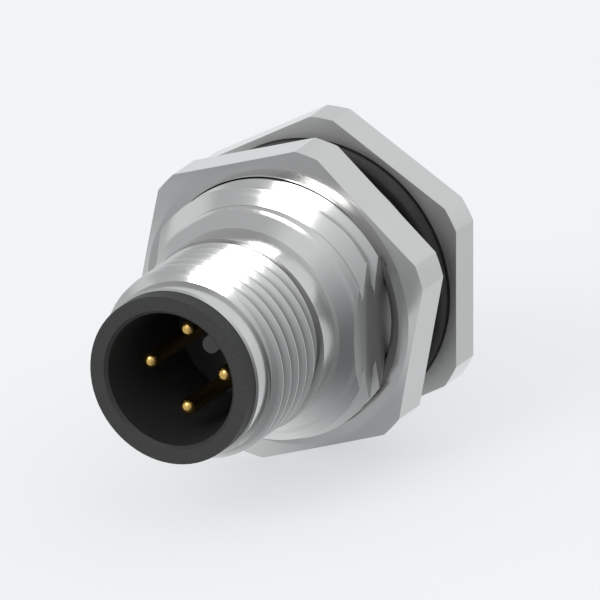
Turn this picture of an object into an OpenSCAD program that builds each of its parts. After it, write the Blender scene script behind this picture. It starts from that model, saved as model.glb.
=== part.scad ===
// Rear-mounted M12 panel connector, male, four contacts, A-coded.
// The connector's axis is Y, and its mating face looks along -Y. The origin is on the axis,
// in the plane of the flange face that the panel seal lies on. Every turned piece is drawn
// with its heights measured forward from that plane, and then laid along the axis.

/* [Mating end] */
// Major diameter of the coupling thread
coupling_thread_d = 12; // [11:0.1:13]
// Pitch of the coupling thread
coupling_pitch = 1; // [0.75:0.25:1.25]
// Length of the full coupling thread
coupling_thread_l = 5.1; // [4:0.1:7]
// Length of the thread's lead-in cone
coupling_lead_l = 0.45; // [0.2:0.05:0.8]
// Length of the plain nose in front of the thread
nose_l = 1.4; // [0.8:0.05:3]
// Depth of the bevel on the nose's front edge
nose_bevel = 0.12; // [0.05:0.01:0.25]

/* [Neck] */
// Length of the relief groove behind the coupling thread, where the thread runs out
relief_l = 0.3; // [0.2:0.05:0.8]
// Diameter of the plain neck behind the relief groove
neck_d = 12.2; // [11.4:0.1:12.6]
// Length of the plain neck
neck_l = 2.02; // [1:0.02:5]
// Length of the cone from the neck to the panel thread
shoulder_l = 0.78; // [0.4:0.02:2]
// Height of the step from the cone up to the panel thread's root
shoulder_step = 0.2; // [0.1:0.02:0.4]

/* [Panel thread] */
// Major diameter of the panel thread
panel_thread_d = 16; // [15:0.1:18]
// Pitch of the panel thread
panel_pitch = 1.5; // [1:0.25:1.5]
// Distance from the flange face to the front end of the panel thread
panel_thread_l = 8.58; // [6:0.02:12]
// Length of the thread's lead-in cone
panel_lead_l = 0.92; // [0.2:0.02:1.2]
// Depth below the thread's crest of the two flats that stop the shell turning in the panel
flat_depth = 1.25; // [0.8:0.05:1.5]
// Length of the undercut that the seal lies in
undercut_l = 1.2; // [1.1:0.05:2]
// Depth of the undercut below the thread's crest
undercut_depth = 0.8; // [0.6:0.05:1]

/* [Hexagons of nut and flange] */
// Wall between the panel thread's crest and the flats of both hexagons
hex_wall = 1.0; // [1:0.25:3]
// Height turned off both hexagons' corners
corner_cut = 0.42; // [0.1:0.02:0.8]

/* [Flange] */
// Thickness of the flange
flange_t = 2.6; // [1.5:0.1:4]
// Bevel on the flange's rear edge, along the axis
flange_bevel = 0.35; // [0.1:0.05:0.6]

/* [Rear end] */
// Diameter of the collar behind the flange
collar_d = 13; // [12:0.1:14]
// Length of the collar
collar_l = 2.4; // [1:0.1:4]
// Bevel on the collar's rear edge
collar_bevel = 0.3; // [0.1:0.05:0.6]
// Length of the carrier's tail behind the collar
tail_l = 2.6; // [2:0.1:5]

/* [Nut] */
// Thickness of the nut
nut_t = 2.75; // [2:0.05:5]
// Thickness of the panel that the nut is tightened for
panel_t = 1.9; // [1:0.05:3]
// Angle that the nut has been turned to
nut_turn = -10.6; // [-30:0.1:30]
// Width of the 120 degree countersinks at the mouths of the nut's thread
countersink_w = 0.67; // [0.3:0.01:0.8]

/* [Seal] */
// Width of the panel seal's ring
seal_w = 1.31; // [1:0.01:1.6]
// Thickness of the panel seal
seal_t = 1.0; // [0.6:0.05:1.05]

/* [Contact carrier] */
// Diameter of the carrier's front collar
rim_d = 10.52; // [10.2:0.01:10.7]
// Length of the front collar, in front of the shell
rim_l = 1.1; // [0.5:0.05:2]
// Diameter of the carrier's body inside the shell
carrier_d = 9.5; // [9:0.05:9.8]
// Diameter of the cavity that the mating plug's insert enters
cavity_d = 8.34; // [8.1:0.01:8.6]
// Depth of the cavity
cavity_l = 9.5; // [7:0.1:11]
// Bevel at the mouth of the cavity
mouth_bevel = 0.2; // [0.05:0.05:0.4]
// Radius of the coding key's rounded nose
key_r = 0.53; // [0.3:0.01:0.6]
// Height of the coding key above the cavity's wall
key_h = 1.02; // [0.6:0.01:1.2]
// Angle of the coding key, anticlockwise from +X as seen from the front
key_angle = 45; // [30:1:60]
// Distance from the front face to the end of the coding key
key_setback = 0.35; // [0.1:0.05:2]

/* [Contacts] */
// Number of contacts
contact_count = 4; // [4]
// Diameter of the circle that the contacts stand on
contact_circle_d = 5; // [4.8:0.1:5.4]
// Diameter of a contact's pin
pin_d = 1; // [0.8:0.05:1.1]
// Distance from the front face to the tips of the pins
pin_setback = 2.1; // [1:0.05:4]
// Length of the ogive at a pin's tip
pin_tip_l = 0.45; // [0.3:0.05:0.8]
// Diameter of the contact's stem in the carrier
stem_d = 1.5; // [1.3:0.05:1.7]
// Outer diameter of a solder cup
cup_d = 1.7; // [1.5:0.05:2]
// Bore of a solder cup
cup_bore_d = 1.15; // [0.9:0.05:1.3]
// Length of a solder cup behind the carrier
cup_l = 4.0; // [2:0.1:6]
// Length of the opening in a solder cup's side
cup_window_l = 2.2; // [1:0.1:3]

/* [Carrier seal and retaining ring] */
// Section of the O-ring between carrier and shell
oring_w = 0.9; // [0.6:0.05:1]
// Distance from the flange face forward to the middle of the O-ring
oring_h = 4.0; // [2:0.1:6]
// Thickness of the retaining ring
ring_t = 0.8; // [0.6:0.05:1]
// Outer diameter of the retaining ring
ring_d = 11.6; // [11:0.1:12]
// Depth of the groove that holds the retaining ring
ring_groove_depth = 0.45; // [0.3:0.05:0.6]
// Angle of the gap in the retaining ring
ring_gap_angle = 34; // [20:1:50]

/* [Fits] */
// Radial clearance between the nut's bore and the panel thread
nut_clear = 0.05; // [0.02:0.01:0.1]
// Radial clearance between pieces that are pushed together
slip_clear = 0.04; // [0.02:0.01:0.08]

/* [Hidden] */
$fn = 128;
tiny = 0.01;
// How far a cutting shape runs past the solid that it cuts
past = 1;

// Root radius of an external ISO thread from its major diameter and pitch
function root_r(major_d, pitch) = major_d / 2 - 0.6134 * pitch;

hex_af = panel_thread_d + 2 * hex_wall;
hex_corner_d = hex_af / cos(30) - 2 * corner_cut;
undercut_r = panel_thread_d / 2 - undercut_depth;
flat_x = panel_thread_d / 2 - flat_depth;
seal_in_r = undercut_r + slip_clear;
seal_out_r = seal_in_r + seal_w;
coupling_root_r = root_r(coupling_thread_d, coupling_pitch);
panel_root_r = root_r(panel_thread_d, panel_pitch);

// Heights along the axis, forward from the flange face
panel_lead_h = panel_thread_l - panel_lead_l;
shoulder_h = panel_thread_l + shoulder_step * tan(30);
neck_h = shoulder_h + shoulder_l;
relief_h = neck_h + neck_l;
thread_back_h = relief_h + relief_l;
thread_front_h = thread_back_h + coupling_thread_l;
lead_front_h = thread_front_h + coupling_lead_l;
lip_h = lead_front_h + nose_l;
face_h = lip_h + rim_l;
floor_h = face_h - cavity_l;
pin_tip_h = face_h - pin_setback;
nut_h = seal_t + panel_t;
flange_back_h = -flange_t;
collar_back_h = flange_back_h - collar_l;
tail_back_h = collar_back_h - tail_l;
ring_front_h = collar_back_h - slip_clear;
cup_back_h = tail_back_h - cup_l;

bore_r = carrier_d / 2 + slip_clear;
nut_bore_r = panel_thread_d / 2 + nut_clear;
countersink_l = countersink_w * tan(30);
oring_in_r = carrier_d / 2 - oring_w + slip_clear;
oring_groove_l = oring_w + 0.3;
ring_groove_r = carrier_d / 2 - ring_groove_depth;
// Each contact's stem ends in a stop flange, and its thinner pin runs on through the carrier's web
stem_flange_d = stem_d + 0.5;
stem_flange_l = 0.8;
web_l = 2.4;
stem_flange_h = floor_h - web_l - stem_flange_l;
// Solid length between a solder cup's bore and the carrier
cup_web_l = 0.6;
// Slope of the 30 degree chamfer on hexagon corners
corner_slope = tan(60);

// Lay a piece drawn upwards from the flange plane along the connector's axis, mating end along -Y
module on_axis() {
    rotate([90, 0, 0]) children();
}

// Turned solid from a profile of [radius, height] points
module turned(profile) {
    rotate_extrude() polygon(profile);
}

// Hexagon bar with its corners turned down, and with flats facing +X and -X
module hex_bar(height) {
    intersection() {
        rotate([0, 0, 30]) cylinder(d = hex_af / cos(30), h = height, $fn = 6);
        cylinder(d = hex_corner_d, h = height);
    }
}

// What a cone takes off the corners at the lower end of a hexagon that stands on height 0
module corner_bevel(bevel) {
    difference() {
        translate([0, 0, -tiny]) cylinder(d = hex_corner_d + past, h = bevel + tiny);
        translate([0, 0, -tiny])
            cylinder(
                r1 = hex_corner_d / 2 - (bevel + tiny) * corner_slope,
                r2 = hex_corner_d / 2,
                h = bevel + tiny
            );
    }
}

// Turned outside of the shell in front of the flange, and its collar behind
module shell_turned() {
    turned([
        [0, collar_back_h],
        [collar_d / 2 - collar_bevel, collar_back_h],
        [collar_d / 2, collar_back_h + collar_bevel],
        [collar_d / 2, -tiny],
        [undercut_r, -tiny],
        [undercut_r, undercut_l],
        [panel_thread_d / 2, undercut_l + undercut_depth],
        [panel_thread_d / 2, panel_lead_h],
        [panel_root_r, panel_thread_l],
        [panel_root_r - shoulder_step, shoulder_h],
        [neck_d / 2, neck_h],
        [neck_d / 2, relief_h],
        [coupling_root_r, relief_h],
        [coupling_root_r, thread_back_h],
        [coupling_thread_d / 2, thread_back_h],
        [coupling_thread_d / 2, thread_front_h],
        [coupling_root_r, lead_front_h],
        [coupling_root_r, lip_h - nose_bevel],
        [coupling_root_r - nose_bevel, lip_h],
        [0, lip_h]
    ]);
}

// The two anti-rotation flats along the panel thread and the shoulder in front of it
module flats_cut() {
    for (side = [-1, 1])
        translate([side * (flat_x + panel_thread_d / 4), 0, neck_h / 2 + tiny])
            cube([panel_thread_d / 2, panel_thread_d + past, neck_h], center = true);
}

module shell() {
    color("#c4c4c4") on_axis() difference() {
        union() {
            difference() {
                shell_turned();
                flats_cut();
            }
            translate([0, 0, flange_back_h]) difference() {
                hex_bar(flange_t);
                corner_bevel(flange_bevel);
            }
        }
        translate([0, 0, collar_back_h - tiny]) cylinder(r = bore_r, h = lip_h - collar_back_h + 2 * tiny);
    }
}

module hex_nut() {
    sink_r = nut_bore_r + countersink_w;
    color("#bebebe") on_axis() translate([0, 0, nut_h]) rotate([0, 0, nut_turn]) difference() {
        hex_bar(nut_t);
        translate([0, 0, -tiny]) cylinder(r = nut_bore_r, h = nut_t + 2 * tiny);
        translate([0, 0, -tiny]) cylinder(r1 = sink_r + tiny, r2 = nut_bore_r, h = countersink_l + tiny);
        translate([0, 0, nut_t - countersink_l])
            cylinder(r1 = nut_bore_r, r2 = sink_r + tiny, h = countersink_l + tiny);
    }
}

// Flat ring seal with rounded outer edges, seated in the undercut
module panel_seal() {
    edge_r = seal_t * 0.3;
    color("#1c1c1c") on_axis() rotate_extrude() difference() {
        translate([seal_in_r, 0]) square([seal_w, seal_t]);
        for (top = [0, 1])
            translate([seal_out_r - edge_r, top * seal_t])
                mirror([0, top, 0])
                    difference() {
                        square([edge_r + tiny, edge_r]);
                        translate([0, edge_r]) circle(r = edge_r, $fn = 48);
                    }
    }
}

// Coding key on the cavity's wall: a rib with parallel sides and a half-round nose
module coding_key() {
    key_l = cavity_l - key_setback + tiny;
    nose_x = cavity_d / 2 - key_h + key_r;
    rotate([0, 0, key_angle]) translate([nose_x, 0, floor_h - tiny]) {
        cylinder(r = key_r, h = key_l, $fn = 48);
        translate([0, -key_r, 0]) cube([key_h, 2 * key_r, key_l]);
    }
}

// Stepped hole for one contact, through the carrier's solid rear part
module contact_hole() {
    translate([0, 0, tail_back_h - tiny])
        cylinder(d = stem_d + 2 * slip_clear, h = stem_flange_h - tail_back_h, $fn = 64);
    translate([0, 0, stem_flange_h - slip_clear])
        cylinder(d = stem_flange_d + 2 * slip_clear, h = stem_flange_l + 2 * slip_clear, $fn = 64);
    translate([0, 0, floor_h - web_l - tiny])
        cylinder(d = pin_d + 2 * slip_clear, h = web_l + 2 * tiny, $fn = 64);
}

module contact_carrier() {
    color("#202020") on_axis() {
        difference() {
            turned([
                [0, tail_back_h],
                [carrier_d / 2, tail_back_h],
                [carrier_d / 2, ring_front_h - ring_t - slip_clear],
                [ring_groove_r, ring_front_h - ring_t - slip_clear],
                [ring_groove_r, ring_front_h + slip_clear],
                [carrier_d / 2, ring_front_h + slip_clear],
                [carrier_d / 2, oring_h - oring_groove_l / 2],
                [carrier_d / 2 - oring_w, oring_h - oring_groove_l / 2],
                [carrier_d / 2 - oring_w, oring_h + oring_groove_l / 2],
                [carrier_d / 2, oring_h + oring_groove_l / 2],
                [carrier_d / 2, lip_h],
                [rim_d / 2, lip_h],
                [rim_d / 2, face_h],
                [cavity_d / 2 + mouth_bevel, face_h],
                [cavity_d / 2, face_h - mouth_bevel],
                [cavity_d / 2, floor_h],
                [0, floor_h]
            ]);
            for (i = [0 : contact_count - 1])
                rotate([0, 0, i * 360 / contact_count]) translate([contact_circle_d / 2, 0, 0]) contact_hole();
        }
        intersection() {
            coding_key();
            translate([0, 0, floor_h - tiny]) cylinder(r = (cavity_d + rim_d) / 4, h = cavity_l);
        }
    }
}

module carrier_oring() {
    color("#2a2a2a") on_axis() translate([0, 0, oring_h]) rotate_extrude()
        translate([oring_in_r + (oring_w - slip_clear) / 2, 0]) circle(d = oring_w - slip_clear, $fn = 48);
}

// Open snap ring in the carrier's tail groove, against the shell's collar
module retaining_ring() {
    color("#8a8a8a") on_axis() translate([0, 0, ring_front_h - ring_t]) difference() {
        cylinder(d = ring_d, h = ring_t);
        translate([0, 0, -tiny]) cylinder(r = ring_groove_r + slip_clear, h = ring_t + 2 * tiny);
        translate([0, 0, -tiny]) linear_extrude(height = ring_t + 2 * tiny)
            polygon([
                [0, 0],
                ring_d * [sin(ring_gap_angle / 2), -cos(ring_gap_angle / 2)],
                ring_d * [-sin(ring_gap_angle / 2), -cos(ring_gap_angle / 2)]
            ]);
    }
}

// One contact: round-nosed pin, stem with its stop flange, and solder cup with an open side
module contact(index) {
    angle = (index - 1) * 360 / contact_count;
    tip_r = pin_d / 2;
    color("#d8b060") on_axis() rotate([0, 0, angle]) translate([contact_circle_d / 2, 0, 0]) difference() {
        turned([
            [0, cup_back_h],
            [cup_d / 2, cup_back_h],
            [cup_d / 2, tail_back_h - slip_clear],
            [stem_d / 2, tail_back_h - slip_clear],
            [stem_d / 2, stem_flange_h],
            [stem_flange_d / 2, stem_flange_h],
            [stem_flange_d / 2, stem_flange_h + stem_flange_l],
            [tip_r, stem_flange_h + stem_flange_l],
            for (t = [0 : 10 : 90]) [tip_r * cos(t), pin_tip_h - pin_tip_l + pin_tip_l * sin(t)]
        ]);
        translate([0, 0, cup_back_h - tiny]) cylinder(d = cup_bore_d, h = cup_l - cup_web_l + tiny, $fn = 64);
        translate([cup_d / 2, 0, cup_back_h + cup_window_l / 2 - tiny])
            cube([cup_d, cup_d + past, cup_window_l], center = true);
    }
}

shell();
hex_nut();
panel_seal();
contact_carrier();
carrier_oring();
retaining_ring();
contact(1);  // pin_1
contact(2);  // pin_2
contact(3);  // pin_3
contact(4);  // pin_4
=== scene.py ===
"""Rear-mounted M12 panel connector, dressed for its picture.

Every new piece is a surface worked out as whole arrays. It is made of rings: a ring is a row of
points round the connector's axis, given by an angle, a radius and a height for each point. Heights
run forward from the flange face, towards the mating end, which looks along -Y.
"""
import math

import bpy
import bmesh
import numpy as np
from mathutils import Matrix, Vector


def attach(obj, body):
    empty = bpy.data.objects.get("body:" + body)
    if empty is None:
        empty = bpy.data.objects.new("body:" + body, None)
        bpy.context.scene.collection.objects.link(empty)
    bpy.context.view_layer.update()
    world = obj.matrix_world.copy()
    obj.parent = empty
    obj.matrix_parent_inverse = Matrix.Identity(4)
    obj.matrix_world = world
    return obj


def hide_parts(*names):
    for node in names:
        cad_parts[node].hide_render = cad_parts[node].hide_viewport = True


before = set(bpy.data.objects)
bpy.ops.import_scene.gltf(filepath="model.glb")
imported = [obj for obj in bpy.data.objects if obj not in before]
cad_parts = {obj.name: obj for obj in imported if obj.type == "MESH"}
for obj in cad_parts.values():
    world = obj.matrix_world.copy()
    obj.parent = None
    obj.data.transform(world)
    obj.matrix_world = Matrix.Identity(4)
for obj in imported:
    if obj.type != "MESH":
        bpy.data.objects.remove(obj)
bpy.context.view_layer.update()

MM = 0.001
DEG = math.pi / 180
TURN = 2 * math.pi

# Sizes in millimetres, the same as the solids have to within a hundredth. R is a radius and L a
# length, and H, BACK, FRONT, FULL and END are heights along the axis
THREAD_DEPTH = 0.6134  # of an external thread, as a share of its pitch

# Panel thread: it is full up to its lead-in, and two milled flats cut it
PANEL_R, PANEL_PITCH, PANEL_END = 8.0, 1.5, 8.58
PANEL_FULL = PANEL_END - 0.92
PANEL_ROOT_R = PANEL_R - THREAD_DEPTH * PANEL_PITCH
FLAT_X = PANEL_R - 1.25
UNDERCUT_R, UNDERCUT_L = PANEL_R - 0.8, 1.2

# Hexagon of nut and flange: distance of its flats, and radius of its turned corners
HEX_FLAT = PANEL_R + 1.0
HEX_CORNER = HEX_FLAT / math.cos(30 * DEG) - 0.42
SEAL_R = 8.55
FLANGE_BACK, FLANGE_BEVEL = -2.6, 0.35
COLLAR_BACK, COLLAR_R, COLLAR_BEVEL = FLANGE_BACK - 2.4, 6.5, 0.3

# Cone and neck in front of the panel thread
SHOULDER_STEP = 0.2
SHOULDER_R = PANEL_ROOT_R - SHOULDER_STEP
SHOULDER_H = PANEL_END + SHOULDER_STEP * math.tan(30 * DEG)
NECK_R, NECK_H = 6.1, SHOULDER_H + 0.78
RELIEF_H = 11.5

# Coupling thread with its lead-in, and the nose in front of it
COUPLING_R, COUPLING_PITCH = 6.0, 1.0
COUPLING_ROOT_R = COUPLING_R - THREAD_DEPTH * COUPLING_PITCH
COUPLING_BACK = RELIEF_H + 0.3
COUPLING_FULL = COUPLING_BACK + 5.1
COUPLING_END = COUPLING_FULL + 0.45
LIP_H, LIP_BEVEL, BORE_R = COUPLING_END + 1.4, 0.12, 4.79

# Nut where the photograph shows it, with its front mouth, its back mouth, and the shallow cone
# outside its flat front ring
NUT_BACK, NUT_TURN = 2.9, -10.6 * DEG
NUT_FRONT = NUT_BACK + 2.75
NUT_CLEAR, NUT_MINOR_R = 0.03, 7.19
MOUTH_R, BACK_MOUTH_R = 8.06, 8.72
CONE_R, CONE_SLOPE = 8.72, math.tan(4 * DEG)

# Where the threads' crests cross +X, as a height less whole pitches, and the widths of their flat
# crests as shares of the pitch
PANEL_PHASE, PANEL_CREST = 1.02, 1 / 8
COUPLING_PHASE, COUPLING_CREST = 0.616, 0.07

# Columns of a ring. Each flat, of the shell's two or of a hexagon's six, has an eighth of them
COLUMNS = 480
FLAT_COLUMNS = COLUMNS // 8
ROUND_COLUMNS = COLUMNS // 2 - FLAT_COLUMNS
CORNER_COLUMNS = COLUMNS // 6 - FLAT_COLUMNS

# Edges that turn by more than this are shown sharp. Points closer than the first distance are one
# point, and faces narrower than the second are dropped, in metres
SHARP = 16 * DEG
SAME_POINT, SLIVER = 4e-7, 1e-7


def place(radius, angle, height):
    """Points in metres: x is the radius times the cosine of the angle, z is the radius times its
    sine, and y is minus the height."""
    radius, angle, height = np.broadcast_arrays(radius, angle, height)
    return np.stack([radius * np.cos(angle), -height, radius * np.sin(angle)], axis=-1) * MM


def spread(edges, counts):
    """Angles of a ring's columns: between each two edges a count of equal steps, then the last
    edge."""
    parts = [low + (high - low) * np.arange(n) / n
             for low, high, n in zip(edges[:-1], edges[1:], counts)]
    return np.concatenate(parts + [np.atleast_1d(edges[-1])], axis=-1)


def piece(name, rings, body, material, replaces):
    """Skin over rings of points of equal count: a quad joins each point to the next one round its
    ring and to the same one of the next ring, and the last ring is joined to the first. A ring ends
    a full turn from its start. Points that coincide are merged, which closes the seam: a plain ring
    ends where it starts, and a thread's row where the row one pitch further on starts."""
    rows, columns, _ = rings.shape
    low = np.arange(rows * columns).reshape(rows, columns)
    high = np.roll(low, -1, axis=0)
    quads = np.stack([low[:, :-1], low[:, 1:], high[:, 1:], high[:, :-1]], axis=-1).reshape(-1, 4)
    mesh = bpy.data.meshes.new(name)
    mesh.from_pydata(rings.reshape(-1, 3), [], quads.tolist())
    work = bmesh.new()
    work.from_mesh(mesh)
    bmesh.ops.remove_doubles(work, verts=work.verts, dist=SAME_POINT)
    bmesh.ops.dissolve_degenerate(work, edges=work.edges, dist=SLIVER)
    bmesh.ops.recalc_face_normals(work, faces=work.faces)
    if work.calc_volume(signed=True) < 0:
        bmesh.ops.reverse_faces(work, faces=work.faces)
    work.to_mesh(mesh)
    work.free()
    mesh.shade_smooth()
    mesh.set_sharp_from_angle(angle=SHARP)
    mesh.materials.append(material)
    obj = bpy.data.objects.new(name, mesh)
    bpy.context.scene.collection.objects.link(obj)
    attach(obj, body)
    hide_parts(*replaces)
    return obj


def linear(hex_code):
    """sRGB hex colour as linear red, green, blue and alpha."""
    values = [int(hex_code[i:i + 2], 16) / 255 for i in (1, 3, 5)]
    return [v / 12.92 if v <= 0.04045 else ((v + 0.055) / 1.055) ** 2.4 for v in values] + [1]


def node(tree, kind, links=None, values=None, **settings):
    """Add a node. Settings are its properties or, by socket name with spaces as underscores, its
    inputs. Links are {input: output socket of another node}, and values are {input: constant}."""
    made = tree.nodes.new(kind)
    for key, value in settings.items():
        if hasattr(made, key):
            setattr(made, key, value)
        else:
            made.inputs[key.replace("_", " ")].default_value = value
    for key, value in (values or {}).items():
        made.inputs[key].default_value = value
    for key, socket in (links or {}).items():
        tree.links.new(socket, made.inputs[key])
    return made


def new_material(name, metallic=0):
    """Material named for what it is, with its tree and its shader."""
    material = bpy.data.materials.new(name)
    material.use_nodes = True
    tree = material.node_tree
    shader = tree.nodes["Principled BSDF"]
    shader.inputs["Metallic"].default_value = metallic
    return material, tree, shader


def point_shaded(tree):
    """Point that is being shaded, in millimetres."""
    at = node(tree, "ShaderNodeTexCoord").outputs["Object"]
    return node(tree, "ShaderNodeVectorMath", {0: at}, operation="SCALE", Scale=1 / MM).outputs[0]


def skin(tree, shader, clouds, colours, grain, roughness, depth, span=(0, 1)):
    """Colour, roughness and relief of a surface. Clouds are noise that carries the colour from the
    first to the second, as the noise goes over a span. Grain is finer noise that does the same for
    the roughness, as it goes from 0.3 to 0.7, and stands up by a depth in millimetres. Both are
    given by a size in millimetres, a detail, and a stretch along X, Y and Z."""
    at = point_shaded(tree)
    cloud, fine = [
        node(tree, "ShaderNodeTexNoise",
             {"Vector": node(tree, "ShaderNodeMapping", {"Vector": at},
                             Scale=[1 / s for s in stretch]).outputs[0]},
             Scale=1 / size, Detail=detail).outputs["Fac"]
        for size, detail, stretch in (clouds, grain)]
    share = node(tree, "ShaderNodeMapRange", {"Value": cloud}, From_Min=span[0], From_Max=span[1])
    colour = node(tree, "ShaderNodeMix", {0: share.outputs[0]},
                  {6: linear(colours[0]), 7: linear(colours[1])}, data_type="RGBA")
    rough = node(tree, "ShaderNodeMapRange", {"Value": fine}, From_Min=0.3, From_Max=0.7,
                 To_Min=roughness[0], To_Max=roughness[1])
    relief = node(tree, "ShaderNodeBump", {"Height": fine}, Strength=1, Distance=depth * MM)
    tree.links.new(colour.outputs[2], shader.inputs["Base Color"])
    tree.links.new(rough.outputs[0], shader.inputs["Roughness"])
    tree.links.new(relief.outputs[0], shader.inputs["Normal"])


def band(value, low, high, soft=0.02):
    """Two ramps, (value, start, end), that are both full between a low and a high value, inside
    their soft edges."""
    return [(value, low, low + soft), (value, high, high - soft)]


def overlay(tree, shader, ramps, roughness, hex_code=None):
    """Where all ramps are full, the shader's roughness, and its colour if one is given, give way to
    others. Their mask is the product of the ramps, each a smooth step from 0 at its start to 1 at
    its end."""
    mask = None
    for value, start, end in ramps:
        ramp = node(tree, "ShaderNodeMapRange", {"Value": value}, From_Min=start, From_Max=end,
                    interpolation_type="SMOOTHSTEP").outputs[0]
        mask = ramp if mask is None else node(tree, "ShaderNodeMath", {0: mask, 1: ramp},
                                              operation="MULTIPLY").outputs[0]
    rough, colour = shader.inputs["Roughness"], shader.inputs["Base Color"]
    over = node(tree, "ShaderNodeMix", {0: mask, 2: rough.links[0].from_socket}, {3: roughness},
                data_type="FLOAT")
    tree.links.new(over.outputs[0], rough)
    if hex_code:
        over = node(tree, "ShaderNodeMix", {0: mask, 6: colour.links[0].from_socket},
                    {7: linear(hex_code)}, data_type="RGBA")
        tree.links.new(over.outputs[2], colour)


def nickel_plate():
    """Bright nickel on turned brass. The plate is a clear mirror on what was turned last, with faint
    turning marks and clouds. It is thinner and rougher down in the threads, where less of it lands,
    and its colour there is darker, which is painted shade in the thread roots. It is satin on the
    flange's face, which is left as faced round the seal, and on the milled flats."""
    material, tree, shader = new_material("bright_nickel_on_turned_brass", metallic=1)
    skin(tree, shader, clouds=(4.0, 3, (1, 1, 1)), colours=("#cdcdcc", "#d3d3d2"),
         grain=(0.12, 2, (40, 1, 40)), roughness=(0.115, 0.165), depth=0.00025)

    parts = node(tree, "ShaderNodeSeparateXYZ", {0: point_shaded(tree)}).outputs
    flat = node(tree, "ShaderNodeCombineXYZ", {"X": parts["X"], "Z": parts["Z"]}).outputs[0]
    radius = node(tree, "ShaderNodeVectorMath", {0: flat}, operation="LENGTH").outputs["Value"]
    height = node(tree, "ShaderNodeMath", {0: parts["Y"]}, {1: -1}, operation="MULTIPLY").outputs[0]
    across = node(tree, "ShaderNodeMath", {0: parts["X"]}, operation="ABSOLUTE").outputs[0]

    # The two threads' roots, where the plate is rougher and its colour is darker as painted shade:
    # the radii at which this begins and is full, and the heights between which it does
    for bright, dull, back, front in (
            (COUPLING_R - 0.1, COUPLING_R - 0.34, COUPLING_BACK, COUPLING_FULL + 0.1),
            (PANEL_R - 0.3, PANEL_R - 0.75, UNDERCUT_L + 1, PANEL_FULL - 0.4)):
        overlay(tree, shader, [(radius, bright, dull), *band(height, back, front)],
                roughness=0.24, hex_code="#b8b8b7")
    # The flange's face round the seal, and the panel thread's two flats
    for ramps in (band(height, -0.06, 0.06) + band(radius, SEAL_R + 0.05, HEX_CORNER + 0.1),
                  band(across, FLAT_X - 0.04, FLAT_X + 0.04)
                  + band(radius, FLAT_X - 0.1, PANEL_R + 0.03)):
        overlay(tree, shader, ramps, roughness=0.5)
    return material


def polyamide():
    """Black glass-filled polyamide, moulded: dark grey, dull from its fibres, with a fine
    spark-eroded grain from the mould and paler flecks where fibres lie at the skin."""
    material, tree, shader = new_material("black_glass_filled_polyamide")
    skin(tree, shader, clouds=(0.16, 4, (1, 1, 1)), colours=("#2a2a2a", "#333333"),
         grain=(0.09, 2, (1, 1, 1)), roughness=(0.5, 0.68), depth=0.004, span=(0.5, 0.72))
    return material


def seal_rubber():
    """Black nitrile rubber, moulded: matt and very dark, with a fine eggshell skin and a trace of
    grey bloom."""
    material, tree, shader = new_material("black_nitrile_rubber")
    skin(tree, shader, clouds=(1.2, 3, (1, 1, 1)), colours=("#232323", "#2c2c2d"),
         grain=(0.14, 3, (1, 1, 1)), roughness=(0.52, 0.7), depth=0.008, span=(0.42, 0.75))
    return material


def gold_plate():
    """Hard gold on turned brass: a warm mirror with fine turning marks round each contact."""
    material, tree, shader = new_material("hard_gold_on_turned_brass", metallic=1)
    skin(tree, shader, clouds=(0.8, 3, (1, 1, 1)), colours=("#d2ab5c", "#dfbd74"),
         grain=(0.08, 2, (30, 1, 30)), roughness=(0.15, 0.25), depth=0.0004)
    return material


def spring_steel():
    """Stamped spring steel, tempered and oiled: grey, with a rolled grain that runs one way."""
    material, tree, shader = new_material("stamped_spring_steel", metallic=1)
    skin(tree, shader, clouds=(0.1, 3, (1, 1, 25)), colours=("#7c7c7e", "#98989a"),
         grain=(0.1, 3, (1, 1, 25)), roughness=(0.28, 0.42), depth=0.001)
    return material


NICKEL, POLYAMIDE, RUBBER = nickel_plate(), polyamide(), seal_rubber()
GOLD, STEEL = gold_plate(), spring_steel()


def flat_angles(ends):
    """Angles of a ring whose two flats end at four half-angles: below and above +X, and above and
    below -X."""
    right_below, right_above, left_above, left_below = ends
    edges = [-TURN / 4 + 0 * right_below, -right_below, right_above,
             TURN / 2 - left_above, TURN / 2 + left_below, TURN * 0.75 + 0 * right_below]
    counts = [ROUND_COLUMNS // 2, FLAT_COLUMNS, ROUND_COLUMNS, FLAT_COLUMNS, ROUND_COLUMNS // 2]
    return spread(edges, counts)


def shell_rings(radius_at, rows, pitch, low, high):
    """Rings of the shell between two heights, cut by the two flats. A point's height is its row's
    plus the helix's rise, which is the pitch times the share of a turn, and is held between the two.
    Its radius follows from that height and from the height less the rise. A point that would lie
    past a flat lies on it. The angles where each flat ends are found by eight rounds of
    substitution: the cosine of each is the flat's distance over the radius there."""
    rows = np.asarray(rows, float)[:, None]

    def at(angle):
        rise = pitch * angle / TURN
        height = np.clip(rows + rise, low, high)
        return height, radius_at(height, height - rise)

    ends = []
    for side, sign in ((0, -1), (0, 1), (math.pi, -1), (math.pi, 1)):
        half = np.zeros_like(rows)
        for _ in range(8):
            half = np.arccos(np.minimum(1, FLAT_X / at(side + sign * half)[1]))
        ends.append(half)
    angle = flat_angles(ends)
    height, radius = at(angle)
    cut = FLAT_X / np.maximum(np.abs(np.cos(angle)), 1e-6)
    return place(np.minimum(radius, cut), angle, height)


def ruled(points):
    """Rings through [radius, height] points, cut by the flats where their radius reaches them."""
    return np.concatenate([shell_rings(lambda h, p, r=r: r + 0 * h, [h], 0, h, h)
                           for r, h in points])


def thread(major, pitch, crest):
    """Radius of an external 60 degree thread by its phase, the height less the helix's rise: a flat
    crest that is a share of the pitch wide, flanks that fall by the square root of three per unit of
    height, and a flat root. Also the phases of its corners."""
    depth = THREAD_DEPTH * pitch
    half = crest * pitch / 2

    def radius(phase):
        off = np.abs((phase / pitch + 0.5) % 1 - 0.5) * pitch
        return major - np.clip((off - half) * math.sqrt(3), 0, depth)

    foot = half + depth / math.sqrt(3)
    return radius, np.array([-half, half, foot, pitch - foot])


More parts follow.
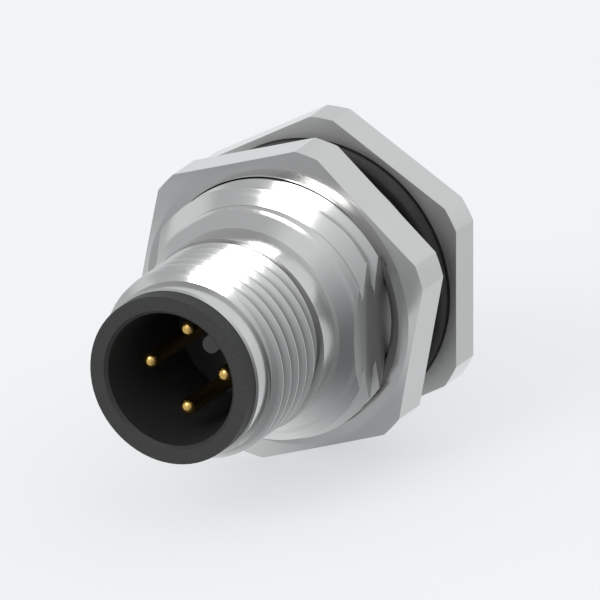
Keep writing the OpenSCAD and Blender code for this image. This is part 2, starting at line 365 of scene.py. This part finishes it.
def thread_rows(corners, pitch, low, high, steps):
    """Row heights of a thread, over its length and two pitches more at each end: each pitch's
    corners, with equal steps from each to the next."""
    turns = np.arange(math.floor(low / pitch) - 2, math.ceil(high / pitch) + 2)
    gaps = np.diff(np.append(corners, corners[0] + pitch))
    within = corners[:, None] + gaps[:, None] * np.arange(steps) / steps
    return (turns[:, None] * pitch + within.ravel()).ravel()


def led_in(profile, start, root, crest, full, end):
    """Radius of a thread whose profile starts at a phase, held under a cone. The cone goes in a
    straight line from the crest, at the height where the thread is full, to the root at its end."""
    def radius(height, phase):
        cone = root + (end - height) / (end - full) * (crest - root)
        return np.minimum(profile(phase - start), cone)

    return radius


def hexagon_edge():
    """Angles and radii round a hexagon with turned corners: the radius is the flats' distance over
    the cosine of the angle from the nearest flat's middle, and at most the corners' radius. The ring
    starts and ends in the middle of its lowest corner."""
    half = math.acos(HEX_FLAT / HEX_CORNER)
    middles = [(k - 1) * TURN / 6 for k in range(6)]
    edges = [-TURN / 4, *[m + side for m in middles for side in (-half, half)], TURN * 0.75]
    counts = [CORNER_COLUMNS // 2, *[FLAT_COLUMNS, CORNER_COLUMNS] * 5, FLAT_COLUMNS,
              CORNER_COLUMNS // 2]
    angle = spread(edges, counts)
    off = (angle + TURN / 12) % (TURN / 6) - TURN / 12
    return angle, np.minimum(HEX_FLAT / np.cos(off), HEX_CORNER)


def make_shell():
    """Turned and milled shell, ring by ring from the back of its bore: bore, lip, coupling thread,
    relief, neck, cone, panel thread with its flats, undercut, hexagon flange and collar."""
    coupling, coupling_corners = thread(COUPLING_R, COUPLING_PITCH, COUPLING_CREST)
    coupling_at = led_in(coupling, COUPLING_PHASE, COUPLING_ROOT_R, COUPLING_R, COUPLING_FULL,
                         COUPLING_END)
    coupling_rows = thread_rows(coupling_corners + COUPLING_PHASE, COUPLING_PITCH, COUPLING_BACK,
                                COUPLING_END, 4)
    panel, panel_corners = thread(PANEL_R, PANEL_PITCH, PANEL_CREST)
    panel_at = led_in(panel, PANEL_PHASE, PANEL_ROOT_R, PANEL_R, PANEL_FULL, PANEL_END)
    panel_rows = thread_rows(panel_corners + PANEL_PHASE, PANEL_PITCH, UNDERCUT_L, PANEL_END, 3)
    # The cone's rings lie close together just past the radius where the flats begin to cut it
    past_flat = (0, 0.0005, 0.002, 0.007, 0.015, 0.03, 0.05)
    cone = [*[FLAT_X + step for step in past_flat], SHOULDER_R]
    cone_fall = (NECK_H - SHOULDER_H) / (SHOULDER_R - NECK_R)
    angle, edge = hexagon_edge()
    rings = [
        ruled([[BORE_R, COLLAR_BACK], [BORE_R, LIP_H], [COUPLING_ROOT_R - LIP_BEVEL, LIP_H],
               [COUPLING_ROOT_R, LIP_H - LIP_BEVEL], [COUPLING_ROOT_R, COUPLING_END]]),
        shell_rings(coupling_at, coupling_rows[::-1], COUPLING_PITCH, COUPLING_BACK, COUPLING_END),
        ruled([[COUPLING_ROOT_R, RELIEF_H], [NECK_R, RELIEF_H], [NECK_R, NECK_H]]),
        ruled([[r, NECK_H - cone_fall * (r - NECK_R)] for r in cone]),
        ruled([[PANEL_ROOT_R, PANEL_END]]),
        shell_rings(panel_at, panel_rows[::-1], PANEL_PITCH, UNDERCUT_L, PANEL_END),
        ruled([[UNDERCUT_R, UNDERCUT_L], [UNDERCUT_R, 0.0]]),
        place(edge, angle, 0.0)[None],
        place(edge, angle, FLANGE_BACK + FLANGE_BEVEL)[None],
        ruled([[COLLAR_R, FLANGE_BACK], [COLLAR_R, COLLAR_BACK + COLLAR_BEVEL],
               [COLLAR_R - COLLAR_BEVEL, COLLAR_BACK]]),
    ]
    return piece("shell_turned", np.concatenate(rings), "connector", NICKEL, replaces=("shell",))


def make_nut():
    """Hexagon nut with turned corners. Its thread is the shell's own, a running clearance larger,
    and a 120 degree countersink opens each end of it: the radius at a height is the largest of the
    two countersinks, the thread and the minor radius. The front face is a flat ring, and from there
    a shallow turned cone falls to the hexagon's edge."""
    panel, corners = thread(PANEL_R, PANEL_PITCH, PANEL_CREST)
    around = -TURN / 4 + NUT_TURN + TURN * np.arange(COLUMNS + 1) / COLUMNS
    rise = PANEL_PITCH * around / TURN
    rows = thread_rows(corners + PANEL_PHASE, PANEL_PITCH, NUT_BACK, NUT_FRONT, 4)[:, None]
    height = np.clip(rows + rise, NUT_BACK, NUT_FRONT)
    bore = np.maximum(panel(height - rise - PANEL_PHASE) + NUT_CLEAR, NUT_MINOR_R)
    mouths = np.maximum(MOUTH_R - (NUT_FRONT - height) * math.sqrt(3),
                        BACK_MOUTH_R - (height - NUT_BACK) * math.sqrt(3))
    angle, edge = hexagon_edge()
    angle = angle + NUT_TURN
    face = place(CONE_R, angle, NUT_FRONT)
    front_edge = place(edge, angle, NUT_FRONT - CONE_SLOPE * (edge - CONE_R))
    # Two narrow strips beside the flat ring's edge keep the shading of ring and cone apart
    rings = [place(np.maximum(bore, mouths), around, height),
             place(CONE_R - 0.01, angle, NUT_FRONT)[None], face[None],
             (0.98 * face + 0.02 * front_edge)[None], front_edge[None],
             place(edge, angle, NUT_BACK)[None]]
    return piece("nut_turned", np.concatenate(rings), "nut", NICKEL, replaces=("hex_nut",))


def dress_solids():
    """Give the solids that are shown as they are their materials."""
    for name, material in (("panel_seal", RUBBER), ("contact_carrier", POLYAMIDE),
                           ("carrier_oring", RUBBER), ("retaining_ring", STEEL),
                           ("pin_1", GOLD), ("pin_2", GOLD), ("pin_3", GOLD), ("pin_4", GOLD)):
        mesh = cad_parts[name].data
        mesh.materials.clear()
        mesh.materials.append(material)


def make_camera():
    """Camera without perspective, that looks at the connector from the front right, above."""
    back = Vector((0.427, -0.831, 0.355)).normalized()
    target = Vector((1.473, -5.65, 0.582)) * MM
    camera = bpy.data.objects.new("camera", bpy.data.cameras.new("camera"))
    bpy.context.scene.collection.objects.link(camera)
    camera.data.type = "ORTHO"
    camera.data.ortho_scale = 35.68 * MM
    camera.data.clip_start, camera.data.clip_end = 0.01, 10
    camera.location = target + back * 0.3
    camera.rotation_mode = "QUATERNION"
    camera.rotation_quaternion = (-back).to_track_quat("-Z", "Y")
    bpy.context.scene.camera = camera


# Parts of the room that differ from its pale walls: the way there, the cosines of the angle to it
# at which the part begins and is full, its tone, and how it comes in
PALE = "#f1f3f5"
ROOM_PARTS = (
    ((-0.75, 0, 0.66), 0.45, 0.8, "#c9cacc", "SMOOTHSTEP"),  # dimmer above on the left
    ((0.87, -0.22, -0.45), 0.15, 0.97, "#797a7c", "LINEAR"),  # falls off to grey low on the right
    ((-0.44, -0.86, -0.26), 0.985, 0.9955, "#b0b1b3", "SMOOTHSTEP"),  # dim patch in front, low
    ((-0.35, -0.82, -0.45), 0.991, 0.9975, "#a8a9ab", "SMOOTHSTEP"),  # and one below it
    ((-0.87, -0.45, 0.2), 0.955, 0.99, PALE, "SMOOTHSTEP"),  # pale again at the left
)


def make_room():
    """Pale room all round with a few parts of other tones, so that turned metal has something to
    mirror. How far a part counts follows from the cosine of the angle to it."""
    world = bpy.data.worlds.new("studio")
    bpy.context.scene.world = world
    world.use_nodes = True
    tree = world.node_tree
    tree.nodes.clear()
    ways = node(tree, "ShaderNodeTexCoord").outputs["Generated"]
    colour = node(tree, "ShaderNodeRGB")
    colour.outputs[0].default_value = linear(PALE)
    colour = colour.outputs[0]
    for way, begins, full, tone, kind in ROOM_PARTS:
        along = node(tree, "ShaderNodeVectorMath", {0: ways}, {1: way}, operation="DOT_PRODUCT")
        part = node(tree, "ShaderNodeMapRange", {"Value": along.outputs["Value"]},
                    From_Min=begins, From_Max=full, interpolation_type=kind)
        colour = node(tree, "ShaderNodeMix", {0: part.outputs[0], 6: colour}, {7: linear(tone)},
                      data_type="RGBA").outputs[2]
    room = node(tree, "ShaderNodeBackground", {"Color": colour}, Strength=1)
    node(tree, "ShaderNodeOutputWorld", {"Surface": room.outputs[0]})


def make_window():
    """One soft window, a metre away, above in front."""
    away = Vector((-0.163, -0.807, 0.57)).normalized()
    data = bpy.data.lights.new("front_window", "AREA")
    data.shape = "RECTANGLE"
    data.size, data.size_y = 0.41, 0.36
    data.energy = 2.8
    window = bpy.data.objects.new("front_window", data)
    bpy.context.scene.collection.objects.link(window)
    window.location = away
    window.rotation_mode = "QUATERNION"
    window.rotation_quaternion = (-away).to_track_quat("-Z", "Y")


def make_floor():
    """Plain pale floor just under the flange's lowest corner. Metal doesn't mirror it, and to the
    camera it glows a little, so that it shows white and keeps its shadow."""
    half, low = 2.0, -9.98 * MM
    corners = [[x * half, y * half, low] for x, y in ((-1, -1), (1, -1), (1, 1), (-1, 1))]
    mesh = bpy.data.meshes.new("floor")
    mesh.from_pydata(corners, [], [[0, 1, 2, 3]])
    material, tree, shader = new_material("plain_pale_floor")
    shader.inputs["Base Color"].default_value = linear("#f4f5f6")
    shader.inputs["Roughness"].default_value = 0.9
    glow = node(tree, "ShaderNodeEmission", Color=linear("#fafcfe"), Strength=1)
    camera_ray = node(tree, "ShaderNodeLightPath").outputs["Is Camera Ray"]
    seen = node(tree, "ShaderNodeMath", {0: camera_ray}, {1: 0.6}, operation="MULTIPLY")
    mixed = node(tree, "ShaderNodeMixShader",
                 {0: seen.outputs[0], 1: shader.outputs[0], 2: glow.outputs[0]})
    tree.links.new(mixed.outputs[0], tree.nodes["Material Output"].inputs["Surface"])
    mesh.materials.append(material)
    floor = bpy.data.objects.new("floor", mesh)
    bpy.context.scene.collection.objects.link(floor)
    floor.visible_glossy = False


make_shell()
make_nut()
dress_solids()
make_camera()
make_room()
make_window()
make_floor()
bpy.context.scene.view_settings.view_transform = "Standard"
